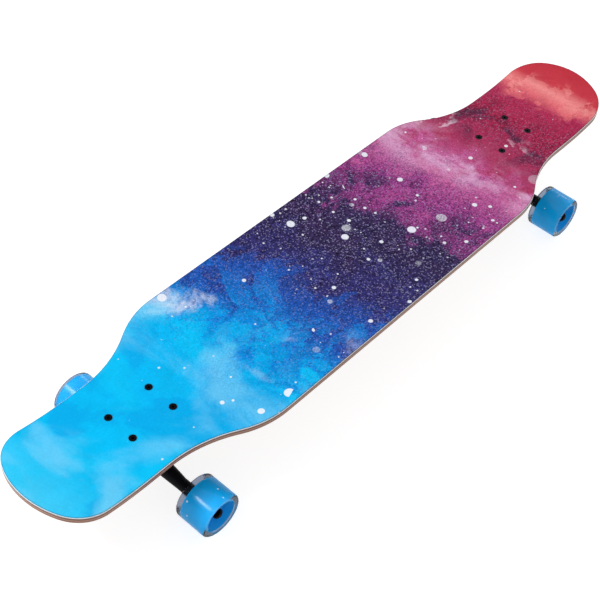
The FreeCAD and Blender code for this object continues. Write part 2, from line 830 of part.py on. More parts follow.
def make_web():
    """The delta-shaped web that joins the ring to the arms."""
    body = new_body("web")
    sketch = sketch_on(body, "XY_Plane", "web_outline")
    polygon(sketch, [
        ("0", "ring_diameter / 2 - ring_edge_radius"),
        ("-axle_back", "web_reach"),
        ("-axle_back", "-web_reach"),
        ("0", "ring_edge_radius - ring_diameter / 2"),
    ])
    pad = body.newObject("PartDesign::Pad", "web_pad")
    pad.Profile = sketch
    bind(pad, Length="web_thickness")
    doc.recompute()
    body.Placement = at(z="-axle_rake - web_thickness / 2")
    return body


def swing_relief(sign):
    """The room that the washer under the ring needs at one end of the steering travel."""
    start = "ring_web / 2 + roadside_bushing_height - bushing_washer_lip - running_gap"
    width = f"2 * ({ROAD_RIM} + running_gap)"
    place = at(axis=ALONG, angle=sign * measure("steer_limit") + HALF_TURN).multiply(at(z=start))
    return cylinder("left_relief" if sign > 0 else "right_relief", width, "body_diameter", place)


def make_hanger():
    """The cast hanger: a ring for the bushings, two arms joined to it by a web, and a pivot nose."""
    level = "-axle_rake - arm_diameter / 2"
    thickness = "(ring_web + 2 * seat_depth)"
    blank = cylinder("ring_blank", "ring_diameter", thickness, at(z=f"-{thickness} / 2"))
    doc.recompute()
    rims = is_rim("ring_diameter", f"{thickness} / 2", f"-{thickness} / 2")
    ring = rounded("ring", blank, "ring_edge_radius", rims)
    nose = turned("nose", [("0", BODY_BACK), ("nose_diameter / 2", BODY_BACK)] + nose_radius("0"))
    nose.Placement = at(axis=ACROSS, angle=-QUARTER_TURN)
    arms = make_arm("left_arm", 1, level) + make_arm("right_arm", -1, level)
    casting = fused("hanger_casting", ring, nose, make_web(), *arms)
    seat = "bushing_diameter + 2 * pivot_clearance"
    reach = "body_diameter + overrun"
    upper_seat = cylinder("upper_seat", seat, reach, at(z="ring_web / 2"))
    lower_seat = cylinder("lower_seat", seat, reach, at(z=f"-ring_web / 2 - ({reach})"))
    hole = cylinder("ring_hole", "ring_hole", "ring_web + 2 * overrun", at(z="-ring_web / 2 - overrun"))
    bore = cylinder("axle_bore", "axle_diameter + 2 * press_clearance", "hanger_length + 2 * overrun",
                    at("-axle_back", "-hanger_length / 2 - overrun", "-axle_rake", ALONG, -QUARTER_TURN))
    return cut("hanger", casting, upper_seat, lower_seat, hole, bore, swing_relief(1), swing_relief(-1))


HUB_STACK = "(2 * speed_washer_thickness + 2 * bearing_width + spacer_length)"
NUT_FACE = f"(hanger_length / 2 + {HUB_STACK})"
WHEEL_MIDDLE = f"(hanger_length / 2 + {HUB_STACK} / 2)"
BEARING_OFFSET = "((spacer_length + bearing_width) / 2)"
AXLE_TIP = f"({NUT_FACE} + axle_nut_height + axle_nut_collar + axle_end)"


def make_axle():
    """A straight steel bar with chamfered ends, along Z."""
    radius = "axle_diameter / 2"
    corners = [("0", f"-{AXLE_TIP}"), (f"{radius} - axle_chamfer", f"-{AXLE_TIP}")]
    corners += [(radius, f"axle_chamfer - {AXLE_TIP}"), (radius, f"{AXLE_TIP} - axle_chamfer")]
    corners += [(f"{radius} - axle_chamfer", AXLE_TIP), ("0", AXLE_TIP)]
    return turned("axle", corners)


def axle_place(y="0", sign=1):
    """A place on the axle, its Z along the axle, seen from the baseplate."""
    return at("-axle_inset", f"{sign} * ({y})", "-axle_drop", ALONG, -sign * QUARTER_TURN)


# Ball bearings and wheels, about Z with the middle at zero and a wheel's outer side up

def make_race():
    """What the balls' path takes out of a bearing's rings."""
    race = doc.addObject("Part::Torus", "race")
    bind(race, Radius1="pitch_diameter / 2", Radius2="ball_diameter / 2 + race_clearance")
    return race


def make_bearing_ring(name, outer, inner, race):
    """One ring of a bearing, with its groove."""
    return cut(name, tube(f"{name}_blank", outer, inner, "-bearing_width / 2", "bearing_width / 2"), race)


def ball_ring(name, clearance):
    """The balls of one bearing, or the pockets around them."""
    ball = doc.addObject("Part::Sphere", f"{name}_ball")
    bind(ball, Radius=f"ball_diameter / 2 + {clearance}")
    places = []
    for number in range(int(measure("bearing_balls"))):
        turn = FreeCAD.Placement(ORIGIN, FreeCAD.Rotation(UP, FULL_TURN * number / measure("bearing_balls")))
        places.append(turn.multiply(at("pitch_diameter / 2")))
    return copies(name, ball, places)


def make_cage():
    """A crown cage: a ring on one side of the balls, with open pockets."""
    blank = tube("cage_blank", "cage_diameter", "cage_bore", "-cage_back", "cage_front")
    return cut("cage", blank, ball_ring("cage_pockets", "cage_pocket_clearance"))


def make_shield():
    """A thin ring that closes one side of a bearing, seated in the outer ring."""
    high = "bearing_width / 2 - shield_recess"
    rim = "(outer_ring_bore - 2 * press_clearance)"
    return tube("shield", rim, "shield_bore", f"{high} - shield_thickness", high)


CORE_INNER = "(core_inner_recess - wheel_width / 2)"
CORE_OUTER = "(wheel_width / 2 - core_outer_recess)"


def make_tyre():
    """The clear cast tyre, with round lips, around the core."""
    side = "wheel_width / 2"
    blank = turned("tyre_blank", [
        ("core_diameter / 2", CORE_INNER),
        ("core_mouth_diameter / 2", CORE_INNER),
        ("wheel_mouth_diameter / 2", f"-{side}"),
        ("wheel_diameter / 2", f"-{side}"),
        ("wheel_diameter / 2", side),
        ("wheel_mouth_diameter / 2", side),
        ("core_mouth_diameter / 2", CORE_OUTER),
        ("core_diameter / 2", CORE_OUTER),
    ])
    return rounded("tyre", blank, "wheel_lip_radius", is_rim("wheel_diameter", side, f"-{side}"))


def make_core():
    """The moulded core: dished on both sides, longer on the outer one, with bearing seats and a stop."""
    stop = "spacer_length / 2"
    floor = "spacer_length / 2 + bearing_width"
    seat = "bearing_diameter / 2 + press_clearance"
    half = [("core_bore / 2", stop), (seat, stop), (seat, floor), ("core_floor_diameter / 2", floor)]
    corners = half + [("core_mouth_diameter / 2", CORE_OUTER), ("core_diameter / 2", CORE_OUTER)]
    corners += [("core_diameter / 2", CORE_INNER), ("core_mouth_diameter / 2", CORE_INNER)]
    corners += [(radius, f"-({height})") for radius, height in reversed(half)]
    return turned("core", corners)


# Assembly: each piece is a named node, made of copies of one solid at their places on the board

MOUNT_LEVEL = "(wheel_diameter / 2 + axle_drop)"
DECK_LEVEL = f"({MOUNT_LEVEL} + riser_thickness)"


def hub_places(*distances):
    """Places on both sides of an axle."""
    return [axle_place(distance, sign) for sign in (1, -1) for distance in distances]


def truck_pieces():
    """The pieces of one truck and their places from the middle of its baseplate."""
    inboard = f"({WHEEL_MIDDLE} - {BEARING_OFFSET})"
    outboard = f"({WHEEL_MIDDLE} + {BEARING_OFFSET})"
    outer_washer = f"{NUT_FACE} - speed_washer_thickness"
    race = make_race()
    inner_ring = make_bearing_ring("inner_ring", "inner_ring_diameter", "bearing_bore", race)
    bore = "(axle_diameter + 2 * press_clearance)"
    speed_washer = tube("speed_washer", "speed_washer_diameter", bore, "0", "speed_washer_thickness")
    spacer = tube("spacer", "spacer_diameter", bore, "-spacer_length / 2", "spacer_length / 2")
    axle_nut = make_nut("axle_nut", "axle_nut_width", "axle_nut_height", "axle_nut_collar",
                        "axle_nut_collar_diameter", "axle_diameter")
    mounting_nut = make_nut("mounting_nut", "mounting_nut_width", "mounting_nut_height",
                            "mounting_nut_collar", "mounting_nut_collar_diameter", "bolt_diameter")
    kingpin_nut = make_nut("kingpin_nut", "kingpin_head_width", "kingpin_nut_height", "kingpin_nut_collar",
                           "kingpin_nut_collar_diameter", "kingpin_diameter")
    upper_washer = make_bushing_washer("upper_washer", "bushing_end_diameter", SEAT_LEVEL, "-1")
    lower_washer = make_bushing_washer("lower_washer", "bushing_cone_diameter", f"-{ROAD_LEVEL}", "1")
    flip = at(axis=ALONG, angle=HALF_TURN)
    under_plate = [place.multiply(flip) for place in bolt_places(height="-plate_thickness")]
    steering = [steering_place()]
    return {
        "riser_pad": (make_riser(), [at()]),
        "baseplate": (make_baseplate(), [at()]),
        "mounting_bolts": (make_bolt(), bolt_places(height="riser_thickness")),
        "mounting_nuts": (mounting_nut, under_plate),
        "kingpin": (make_kingpin(), steering),
        "kingpin_nut": (kingpin_nut, [steering_place(z=f"-{ROAD_LEVEL}", axis=ALONG, angle=HALF_TURN)]),
        "boardside_bushing": (make_boardside_bushing(), steering),
        "roadside_bushing": (make_roadside_bushing(), steering),
        "boardside_washer": (upper_washer, steering),
        "roadside_washer": (lower_washer, steering),
        "pivot_cup": (make_pivot_cup(), [steering_place(axis=ACROSS, angle=-QUARTER_TURN)]),
        "hanger": (make_hanger(), steering),
        "axle": (make_axle(), [axle_place()]),
        "bearing_inner_rings": (inner_ring, hub_places(inboard, outboard)),
        "bearing_spacers": (spacer, hub_places(WHEEL_MIDDLE)),
        "speed_washers": (speed_washer, hub_places("hanger_length / 2", outer_washer)),
        "axle_nuts": (axle_nut, hub_places(NUT_FACE)),
    }


def wheel_pieces():
    """The pieces of one wheel and their places from its middle."""
    pair = [at(z=BEARING_OFFSET), at(z=f"-{BEARING_OFFSET}", axis=ALONG, angle=HALF_TURN)]
    flip = at(axis=ALONG, angle=HALF_TURN)
    faces = [place.multiply(side) for place in pair for side in (at(), flip)]
    outer_ring = make_bearing_ring("outer_ring", "bearing_diameter", "outer_ring_bore", doc.getObject("race"))
    return {
        "tyre": (make_tyre(), [at()]),
        "core": (make_core(), [at()]),
        "bearing_outer_rings": (outer_ring, pair),
        "bearing_shields": (make_shield(), faces),
        "bearing_cages": (make_cage(), pair),
        "bearing_balls": (ball_ring("balls", "0"), pair),
    }


def place_nodes():
    """Every node of the board, by name."""
    nodes = {}
    hole = make_bolt_hole()
    board = [at(z=DECK_LEVEL)]
    nodes["deck"] = copies("deck", make_deck(hole), board)
    grip = trimmed("grip_trimmed", "deck_thickness", GRIP_TOP, "grip_inset", hole)
    nodes["grip_sheet"] = copies("grip_sheet", grip, board)
    truck = truck_pieces()
    wheel = wheel_pieces()
    for end, truck_place in truck_places().items():
        truck_place.Base.z = measure(MOUNT_LEVEL)
        for piece, (master, places) in truck.items():
            node = copies(f"{end}_{piece}", master, [truck_place.multiply(place) for place in places])
            nodes[node.Name] = node
        forward = 1 if end == "front" else -1
        for side, sign in (("left", 1), ("right", -1)):
            hub = truck_place.multiply(axle_place(WHEEL_MIDDLE, sign * forward))
            for piece, (master, places) in wheel.items():
                node = copies(f"{end}_{side}_{piece}", master, [hub.multiply(place) for place in places])
                nodes[node.Name] = node
    return nodes


nodes = place_nodes()
doc.recompute()
for item in doc.Objects:
    if {"Invalid", "Error"} & set(item.State):
        raise RuntimeError(f"{item.Name} failed: {item.State}")
for name, node in nodes.items():
    node.Label = name
    if node.Shape.isNull() or not node.Shape.isValid():
        raise RuntimeError(f"{name} has no valid shape")
os.makedirs("parts", exist_ok=True)
for name, node in nodes.items():
    node.Shape.exportStep(f"parts/{name}.step")
    print(name, len(node.Shape.Solids), round(node.Shape.Volume))
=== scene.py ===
import json
import math

import bpy
from mathutils import Matrix, Vector


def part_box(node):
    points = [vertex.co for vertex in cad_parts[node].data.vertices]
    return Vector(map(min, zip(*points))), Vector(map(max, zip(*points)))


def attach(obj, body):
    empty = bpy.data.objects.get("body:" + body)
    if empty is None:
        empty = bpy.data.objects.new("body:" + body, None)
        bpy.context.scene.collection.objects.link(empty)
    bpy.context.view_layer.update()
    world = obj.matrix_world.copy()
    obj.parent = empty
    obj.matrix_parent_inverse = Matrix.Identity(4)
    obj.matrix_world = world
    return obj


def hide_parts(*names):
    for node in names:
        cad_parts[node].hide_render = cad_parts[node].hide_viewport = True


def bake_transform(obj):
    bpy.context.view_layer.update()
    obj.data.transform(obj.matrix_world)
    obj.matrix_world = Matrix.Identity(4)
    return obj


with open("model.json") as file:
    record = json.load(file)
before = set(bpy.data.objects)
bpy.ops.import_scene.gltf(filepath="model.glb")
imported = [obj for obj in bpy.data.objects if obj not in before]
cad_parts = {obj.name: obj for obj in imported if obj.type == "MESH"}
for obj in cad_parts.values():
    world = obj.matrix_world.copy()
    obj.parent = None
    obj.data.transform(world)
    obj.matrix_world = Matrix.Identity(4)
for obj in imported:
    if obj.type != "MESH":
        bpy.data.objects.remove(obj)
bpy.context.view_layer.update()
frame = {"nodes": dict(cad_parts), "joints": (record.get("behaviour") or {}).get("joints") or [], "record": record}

# Sizes from the frame, in metres
joints = {joint["name"]: joint for joint in frame["joints"]}
deck_low, deck_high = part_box("deck")
tyre_low, tyre_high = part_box("front_left_tyre")
core_low, core_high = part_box("front_left_core")
DECK_LENGTH = deck_high.x - deck_low.x
DECK_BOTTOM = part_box("front_riser_pad")[1].z
WHEEL_RADIUS = (tyre_high.z - tyre_low.z) / 2
WHEEL_HALF_WIDTH = (tyre_high.y - tyre_low.y) / 2
AXLE_X, WHEEL_Y, AXLE_Z = joints["front_left_wheel_spin"]["pos_m"]
CORE_RADIUS = (core_high.z - core_low.z) / 2
CORE_INNER = WHEEL_Y - core_low.y
CORE_OUTER = core_high.y - WHEEL_Y

# Sizes that the looks share with the solids, in metres
DECK_THICKNESS = 0.010
FLAT_HALF_WIDTH = 0.065
RAIL_RADIUS = 0.295
KICK_START = 0.410
KICK_RADIUS = 0.394
LIP_RADIUS = 0.0035
MOUTH_RADIUS = 0.0223
CORE_MOUTH_RADIUS = 0.021
BUSHING_BORE = 0.005
BUSHING_END = 0.01075
BUSHING_BULGE = 0.01175
BUSHING_CONE = 0.0085
BUSHING_BEVEL = 0.004
RING_HALF_WEB = 0.003
SEAT_DEPTH = 0.003
BOARDSIDE_HEIGHT = 0.015
ROADSIDE_HEIGHT = 0.013
# The tyre reaches this far into the core, so that no gap shows between them
TYRE_OVERLAP = 0.0002
# Steps of a full turn and of a rounded corner
TURN_STEPS = 160
CORNER_STEPS = 10


# Node trees

def linear(red, green, blue):
    """A colour given as on screen, from 0 to 255, as the renderer's linear one."""
    shares = (red / 255, green / 255, blue / 255)
    return tuple(s / 12.92 if s <= 0.04045 else ((s + 0.055) / 1.055) ** 2.4 for s in shares) + (1.0,)


def add(tree, kind, **settings):
    """A new node with its settings."""
    node = tree.nodes.new(kind)
    for name, value in settings.items():
        setattr(node, name, value)
    return node


def feed(tree, socket, value):
    """Give an input a number, a colour or another node's output."""
    if isinstance(value, bpy.types.NodeSocket):
        tree.links.new(value, socket)
    else:
        socket.default_value = value


def calc(tree, operation, *values):
    """The result of a sum."""
    node = add(tree, "ShaderNodeMath", operation=operation)
    for socket, value in zip(node.inputs, values):
        feed(tree, socket, value)
    return node.outputs[0]


def mix(tree, factor, first, second, kind="MIX"):
    """Two colours mixed."""
    node = add(tree, "ShaderNodeMix", data_type="RGBA", blend_type=kind)
    colours = [socket for socket in node.inputs if socket.type == "RGBA"]
    feed(tree, node.inputs["Factor"], factor)
    feed(tree, colours[0], first)
    feed(tree, colours[1], second)
    return next(socket for socket in node.outputs if socket.type == "RGBA")


def toned(tree, colour, pattern, contrast):
    """A colour made darker and lighter by a pattern from zero to one."""
    tone = calc(tree, "MULTIPLY_ADD", calc(tree, "SUBTRACT", pattern, 0.5), contrast, 1.0)
    return mix(tree, 1.0, colour, tone, "MULTIPLY")


def ramp(tree, factor, stops):
    """A run of colours along a factor."""
    node = add(tree, "ShaderNodeValToRGB")
    elements = node.color_ramp.elements
    while len(elements) < len(stops):
        elements.new(1.0)
    for element, (position, colour) in zip(elements, stops):
        element.position = position
        element.color = colour
    feed(tree, node.inputs["Fac"], factor)
    return node.outputs["Color"]


def step_up(tree, value, start, full):
    """Zero at the start, one where it is full and smooth between them."""
    node = add(tree, "ShaderNodeMapRange", interpolation_type="SMOOTHSTEP")
    feed(tree, node.inputs["Value"], value)
    feed(tree, node.inputs["From Min"], start)
    feed(tree, node.inputs["From Max"], full)
    return node.outputs["Result"]


def place(tree):
    """The coordinates of a surface point on the board at rest."""
    return add(tree, "ShaderNodeTexCoord").outputs["Object"]


def parts_of(tree, vector):
    """The three parts of a vector."""
    node = add(tree, "ShaderNodeSeparateXYZ")
    feed(tree, node.inputs[0], vector)
    return node.outputs


def stretched(tree, vector, scale, shift=(0.0, 0.0, 0.0)):
    """Coordinates stretched and moved."""
    node = add(tree, "ShaderNodeMapping")
    feed(tree, node.inputs["Vector"], vector)
    node.inputs["Scale"].default_value = scale
    node.inputs["Location"].default_value = shift
    return node.outputs[0]


def seeded(tree, vector, seed):
    """Coordinates moved along the board and across it, to another stretch of a noise."""
    return stretched(tree, vector, (1.0, 1.0, 1.0), (seed, seed, 0.0))


def noise(tree, vector, scale, detail, roughness=0.55, distortion=0.0):
    """Cloudy noise from zero to one."""
    node = add(tree, "ShaderNodeTexNoise")
    feed(tree, node.inputs["Vector"], vector)
    node.inputs["Scale"].default_value = scale
    node.inputs["Detail"].default_value = detail
    node.inputs["Roughness"].default_value = roughness
    node.inputs["Distortion"].default_value = distortion
    return node.outputs[0]


def band(tree, value, centre, width):
    """A soft band about a value."""
    away = calc(tree, "DIVIDE", calc(tree, "SUBTRACT", value, centre), width)
    return calc(tree, "EXPONENT", calc(tree, "MULTIPLY", calc(tree, "MULTIPLY", away, away), -1.0))


def axle_distance(tree, where):
    """How far a point is from the nearer axle's middle line."""
    along, _, up = parts_of(tree, where)
    ahead = calc(tree, "SUBTRACT", calc(tree, "ABSOLUTE", along), AXLE_X)
    above = calc(tree, "SUBTRACT", up, AXLE_Z)
    return calc(tree, "SQRT", calc(tree, "MULTIPLY_ADD", ahead, ahead, calc(tree, "MULTIPLY", above, above)))


def cells(tree, vector, size, dimensions="2D"):
    """Scattered points: the distance to the nearest in cells, and three chance numbers of its own."""
    node = add(tree, "ShaderNodeTexVoronoi", voronoi_dimensions=dimensions, feature="F1")
    feed(tree, node.inputs["Vector"], vector)
    node.inputs["Scale"].default_value = 1 / size
    chance = add(tree, "ShaderNodeSeparateColor")
    feed(tree, chance.inputs[0], node.outputs["Color"])
    return node.outputs["Distance"], chance.outputs


# How alike the plain and the rounded direction of a surface are where an edge begins and where it is full
EDGE_START = 0.98
EDGE_FULL = 0.80


def edge_nearness(tree, width):
    """Zero on a flat face, and up to one beside its sharp edges."""
    rounded = add(tree, "ShaderNodeBevel", samples=4)
    rounded.inputs["Radius"].default_value = width
    alike = add(tree, "ShaderNodeVectorMath", operation="DOT_PRODUCT")
    feed(tree, alike.inputs[0], rounded.outputs[0])
    feed(tree, alike.inputs[1], add(tree, "ShaderNodeNewGeometry").outputs["Normal"])
    return step_up(tree, alike.outputs["Value"], EDGE_START, EDGE_FULL)


def bump(tree, height, strength, distance):
    """A bumped normal."""
    node = add(tree, "ShaderNodeBump")
    node.inputs["Strength"].default_value = strength
    node.inputs["Distance"].default_value = distance
    feed(tree, node.inputs["Height"], height)
    return node.outputs[0]


def material(name):
    """A new material with its shader."""
    item = bpy.data.materials.new(name)
    item.use_nodes = True
    return item, item.node_tree, item.node_tree.nodes["Principled BSDF"]


def finish(shader, **values):
    """Set a shader's constant inputs, with words joined by underscores."""
    for name, value in values.items():
        shader.inputs[name.replace("_", " ")].default_value = value


def joined(tree, share, first, second):
    """Two shaders mixed."""
    node = add(tree, "ShaderNodeMixShader")
    for socket, value in zip(node.inputs, (share, first, second)):
        feed(tree, socket, value)
    return node.outputs[0]


# The print on the grip sheet, with painted sheen where the kicks bend

# Its colours, each at a share of the board's length from the tail; the paler stops at the tail end and at 0.935
# and 0.95 are painted sheen where the kicks bend
PRINT_AND_KICK_SHEEN_SHARES = (
    # The first stop, paler than the next, is painted sheen on the tail kick
    (0.00, linear(64, 203, 247)),
    (0.07, linear(2, 188, 242)),
    (0.28, linear(2, 178, 238)),
    (0.34, linear(6, 130, 213)),
    (0.40, linear(30, 80, 168)),
    (0.45, linear(48, 46, 106)),
    (0.54, linear(48, 38, 76)),
    (0.59, linear(58, 40, 82)),
    (0.66, linear(146, 60, 128)),
    (0.74, linear(192, 92, 150)),
    (0.79, linear(170, 52, 94)),
    (0.86, linear(152, 32, 70)),
    (0.915, linear(176, 44, 84)),
    # The next two stops are painted sheen where the nose kick bends
    (0.935, linear(230, 112, 120)),
    (0.95, linear(246, 146, 146)),
    (0.97, linear(206, 62, 76)),
    (1.00, linear(200, 54, 68)),
)
PALE = linear(238, 242, 252)
WASH_NOISE = {"scale": 30.0, "detail": 8.0, "roughness": 0.68}
WASH_CONTRAST = 0.40
# The print is lively about the middle of the board: how far that reaches, how much the zones slant there,
# how far their edges drift, and the share of the blots that is left at the ends
LIVELY_REACH = 0.30
SLANT = 0.25
DRIFT_REACH = 0.11
DRIFT_NOISE = {"scale": 8.0, "detail": 7.0, "roughness": 0.62}
END_BLOT_SHARE = 0.25
# Blots that shift the zones: the scale of their noise, its seed, the level of their edge and their shift
BLOT_SHARES = (
    (11.0, 0.20, 0.53, 0.030),
    (17.0, 0.70, 0.55, -0.026),
    (26.0, 1.30, 0.56, 0.020),
)
# Half of the span of noise levels over which a blot's edge is soft
BLOT_EDGE = 0.012
BLOT_NOISE = {"detail": 8.0, "roughness": 0.58, "distortion": 0.5}
# Pale clouds: the middle and width of each along the board, the noise levels where it starts and is full,
# its colour and how strong it is
CLOUDS = (
    (-0.185, 0.045, 0.50, 0.68, PALE, 0.75),
    (0.258, 0.036, 0.40, 0.60, linear(234, 192, 228), 0.80),
    (0.322, 0.028, 0.58, 0.61, linear(240, 206, 226), 0.80),
)
CLOUD_STRETCH = (1.0, 0.7, 1.0)
CLOUD_SHIFT = (0.34, 0.1, 0.0)
CLOUD_NOISE = {"scale": 15.0, "detail": 8.0, "roughness": 0.6, "distortion": 0.4}
# Water marks: the scale of their noise, its seed, the levels where they start and are full, their colour and
# how strong they are
MARKS = (
    (13.0, 0.40, 0.48, 0.60, linear(10, 202, 250), 0.40),
    (9.0, 0.90, 0.51, 0.57, linear(2, 160, 228), 0.55),
    (7.0, 2.70, 0.48, 0.62, linear(130, 214, 250), 0.50),
)
MARK_NOISE = {"detail": 7.0, "roughness": 0.5, "distortion": 0.6}
# The shares of the length where the water marks begin to fade and are gone
MARK_FADE_SHARES = (0.26, 0.40)
# Dark smudges near the nose: their colour, their middle and width along the board, the noise levels where
# they start and are full, and how strong they are
SOOT = linear(56, 32, 58)
SOOT_MIDDLE = 0.36
SOOT_WIDTH = 0.045
SOOT_LEVELS = (0.46, 0.62)
SOOT_STRENGTH = 0.8
SOOT_NOISE = {"scale": 19.0, "detail": 5.0, "roughness": 0.6, "distortion": 0.8}
# Splatter: the size of a cell, the largest dot and the part of the cells with a dot, both as shares, the
# softness of a dot's rim as a share of a cell, and how strong the dots are
SPLATTER_SHARES = (
    (0.105, 0.110, 0.75, 0.006, 0.22),
    (0.052, 0.160, 0.80, 0.010, 0.45),
    (0.036, 0.190, 0.75, 0.012, 0.92),
    (0.020, 0.160, 0.50, 0.022, 0.90),
    (0.011, 0.150, 0.26, 0.040, 0.70),
)
# Where the splatter crowds: the noise levels where it starts and is full, how much of it the lively middle
# has, and what is taken off everywhere, which leaves the ends clear
CROWD_NOISE = {"scale": 6.0, "detail": 2.0}
CROWD_LEVELS = (0.32, 0.58)
CROWD_GAIN = 1.06
CROWD_LOSS = 0.09


def zone_share(tree, where, slanted, lively):
    """The share of the length that sets a point's colour, with zones that run into each other in blots."""
    drift = calc(tree, "SUBTRACT", noise(tree, where, **DRIFT_NOISE), 0.5)
    wandering = calc(tree, "MULTIPLY_ADD", drift, calc(tree, "MULTIPLY", lively, DRIFT_REACH), slanted)
    share = calc(tree, "ADD", calc(tree, "DIVIDE", wandering, DECK_LENGTH), 0.5)
    blotted = calc(tree, "MINIMUM", calc(tree, "ADD", lively, END_BLOT_SHARE), 1.0)
    for scale, seed, level, shift in BLOT_SHARES:
        shape = noise(tree, seeded(tree, where, seed), scale, **BLOT_NOISE)
        blot = step_up(tree, shape, level - BLOT_EDGE, level + BLOT_EDGE)
        share = calc(tree, "MULTIPLY_ADD", calc(tree, "MULTIPLY", blot, blotted), shift, share)
    return share


def add_marks(tree, where, share, colour):
    """The print with water marks on its blue end."""
    tail = calc(tree, "SUBTRACT", 1.0, step_up(tree, share, *MARK_FADE_SHARES))
    for scale, seed, start, full, tint, strength in MARKS:
        shape = noise(tree, seeded(tree, where, seed), scale, **MARK_NOISE)
        mark = calc(tree, "MULTIPLY", step_up(tree, shape, start, full), tail)
        colour = mix(tree, calc(tree, "MULTIPLY", mark, strength), colour, tint)
    return colour


def add_clouds(tree, where, slanted, colour):
    """The print with pale clouds across it, and how much they cover."""
    puffs = noise(tree, stretched(tree, where, CLOUD_STRETCH, CLOUD_SHIFT), **CLOUD_NOISE)
    cover = 0.0
    for middle, width, start, full, tint, strength in CLOUDS:
        mask = calc(tree, "MULTIPLY", band(tree, slanted, middle, width), step_up(tree, puffs, start, full))
        amount = calc(tree, "MULTIPLY", mask, strength)
        colour = mix(tree, amount, colour, tint)
        cover = calc(tree, "MAXIMUM", amount, cover)
    return colour, cover


def add_smudges(tree, where, along, colour):
    """The print with dark smudges near the nose."""
    soot = step_up(tree, noise(tree, where, **SOOT_NOISE), *SOOT_LEVELS)
    smudge = calc(tree, "MULTIPLY", band(tree, along, SOOT_MIDDLE, SOOT_WIDTH), soot)
    return mix(tree, calc(tree, "MULTIPLY", smudge, SOOT_STRENGTH), colour, SOOT)


def add_splatter(tree, where, lively, colour, cover):
    """The print with pale dots, and how much they cover together with what was there before."""
    crowd = step_up(tree, noise(tree, where, **CROWD_NOISE), *CROWD_LEVELS)
    crowd = calc(tree, "MULTIPLY", crowd, calc(tree, "MULTIPLY_ADD", lively, CROWD_GAIN, -CROWD_LOSS))
    for size, largest, often, softness, strength in SPLATTER_SHARES:
        distance, chance = cells(tree, where, size)
        radius = calc(tree, "MULTIPLY", calc(tree, "MULTIPLY", chance[0], chance[0]), largest)
        past = step_up(tree, calc(tree, "SUBTRACT", distance, radius), -softness, softness)
        kept = calc(tree, "LESS_THAN", chance[1], calc(tree, "MULTIPLY", crowd, often))
        dot = calc(tree, "MULTIPLY", calc(tree, "SUBTRACT", 1.0, past), kept)
        amount = calc(tree, "MULTIPLY", dot, strength)
        colour = mix(tree, amount, colour, PALE)
        cover = calc(tree, "MAXIMUM", amount, cover)
    return colour, cover


def print_and_sheen_colour(tree, where):
    """The print's colour with its painted kick sheen, the share of the length that sets it, and how much clouds
    and splatter cover.
    """
    along, across, _ = parts_of(tree, where)
    lively = band(tree, along, 0.0, LIVELY_REACH)
    slanted = calc(tree, "MULTIPLY_ADD", calc(tree, "MULTIPLY", across, lively), SLANT, along)
    share = zone_share(tree, where, slanted, lively)
    colour = toned(tree, ramp(tree, share, PRINT_AND_KICK_SHEEN_SHARES), noise(tree, where, **WASH_NOISE), WASH_CONTRAST)
    colour = add_marks(tree, where, share, colour)
    colour, cover = add_clouds(tree, where, slanted, colour)
    colour = add_smudges(tree, where, along, colour)
    colour, cover = add_splatter(tree, where, lively, colour, cover)
    return colour, share, cover


# Materials

# The grit's grains: their size, how much they differ in tone where the print is plain, how much more in the
# darker zones, and the colour, share and strength of the painted glints, lighter grains that stand for highlights
# on the grit
GRIT_SIZE = 0.0015
PLAIN_CONTRAST = 0.07
GRIT_CONTRAST = 1.7
GLINT = linear(206, 200, 250)
GLINT_SHARE = 0.13
GLINT_STRENGTH = 0.28
GRIT_NOISE = {"scale": 1400.0, "detail": 2.0}
# Zones where the grit's tone varies more and painted glints show: the middle and width of each as shares of the
# length, and how strongly
SPARKLE_SHARES = (
    (0.55, 0.18, 1.00),
    (0.86, 0.06, 0.55),
)
# The cut edge of the sheet, where the print looks darker
RIM = linear(28, 36, 62)
RIM_WIDTH = 0.002
RIM_STRENGTH = 0.7


def grip_material():
    """A fine grit sheet with its print and painted kick sheen, its grains varying more in tone and showing painted
    glints in the darker zones where no cloud or dot covers it.
    """
    item, tree, shader = material("printed_grip_painted_sheen")
    where = place(tree)
    colour, share, cover = print_and_sheen_colour(tree, where)
    sparkle = 0.0
    for middle, width, strength in SPARKLE_SHARES:
        zone = calc(tree, "MULTIPLY", band(tree, share, middle, width), strength)
        sparkle = calc(tree, "MAXIMUM", zone, sparkle)
    sparkle = calc(tree, "MULTIPLY", sparkle, calc(tree, "SUBTRACT", 1.0, cover))
    _, chance = cells(tree, where, GRIT_SIZE)
    contrast = calc(tree, "MULTIPLY_ADD", sparkle, GRIT_CONTRAST, PLAIN_CONTRAST)
    colour = toned(tree, colour, chance[0], contrast)
    # Painted glints: lighter grains that stand for highlights on the grit
    glint = calc(tree, "LESS_THAN", chance[1], GLINT_SHARE)
    glint = calc(tree, "MULTIPLY", glint, calc(tree, "MULTIPLY", sparkle, GLINT_STRENGTH))
    colour = mix(tree, glint, colour, GLINT)
    colour = mix(tree, calc(tree, "MULTIPLY", edge_nearness(tree, RIM_WIDTH), RIM_STRENGTH), colour, RIM)
    feed(tree, shader.inputs["Base Color"], colour)
    grains = noise(tree, where, **GRIT_NOISE)
    feed(tree, shader.inputs["Normal"], bump(tree, grains, strength=0.5, distance=0.0003))
    finish(shader, Roughness=0.65, Specular_IOR_Level=0.04)
    return item


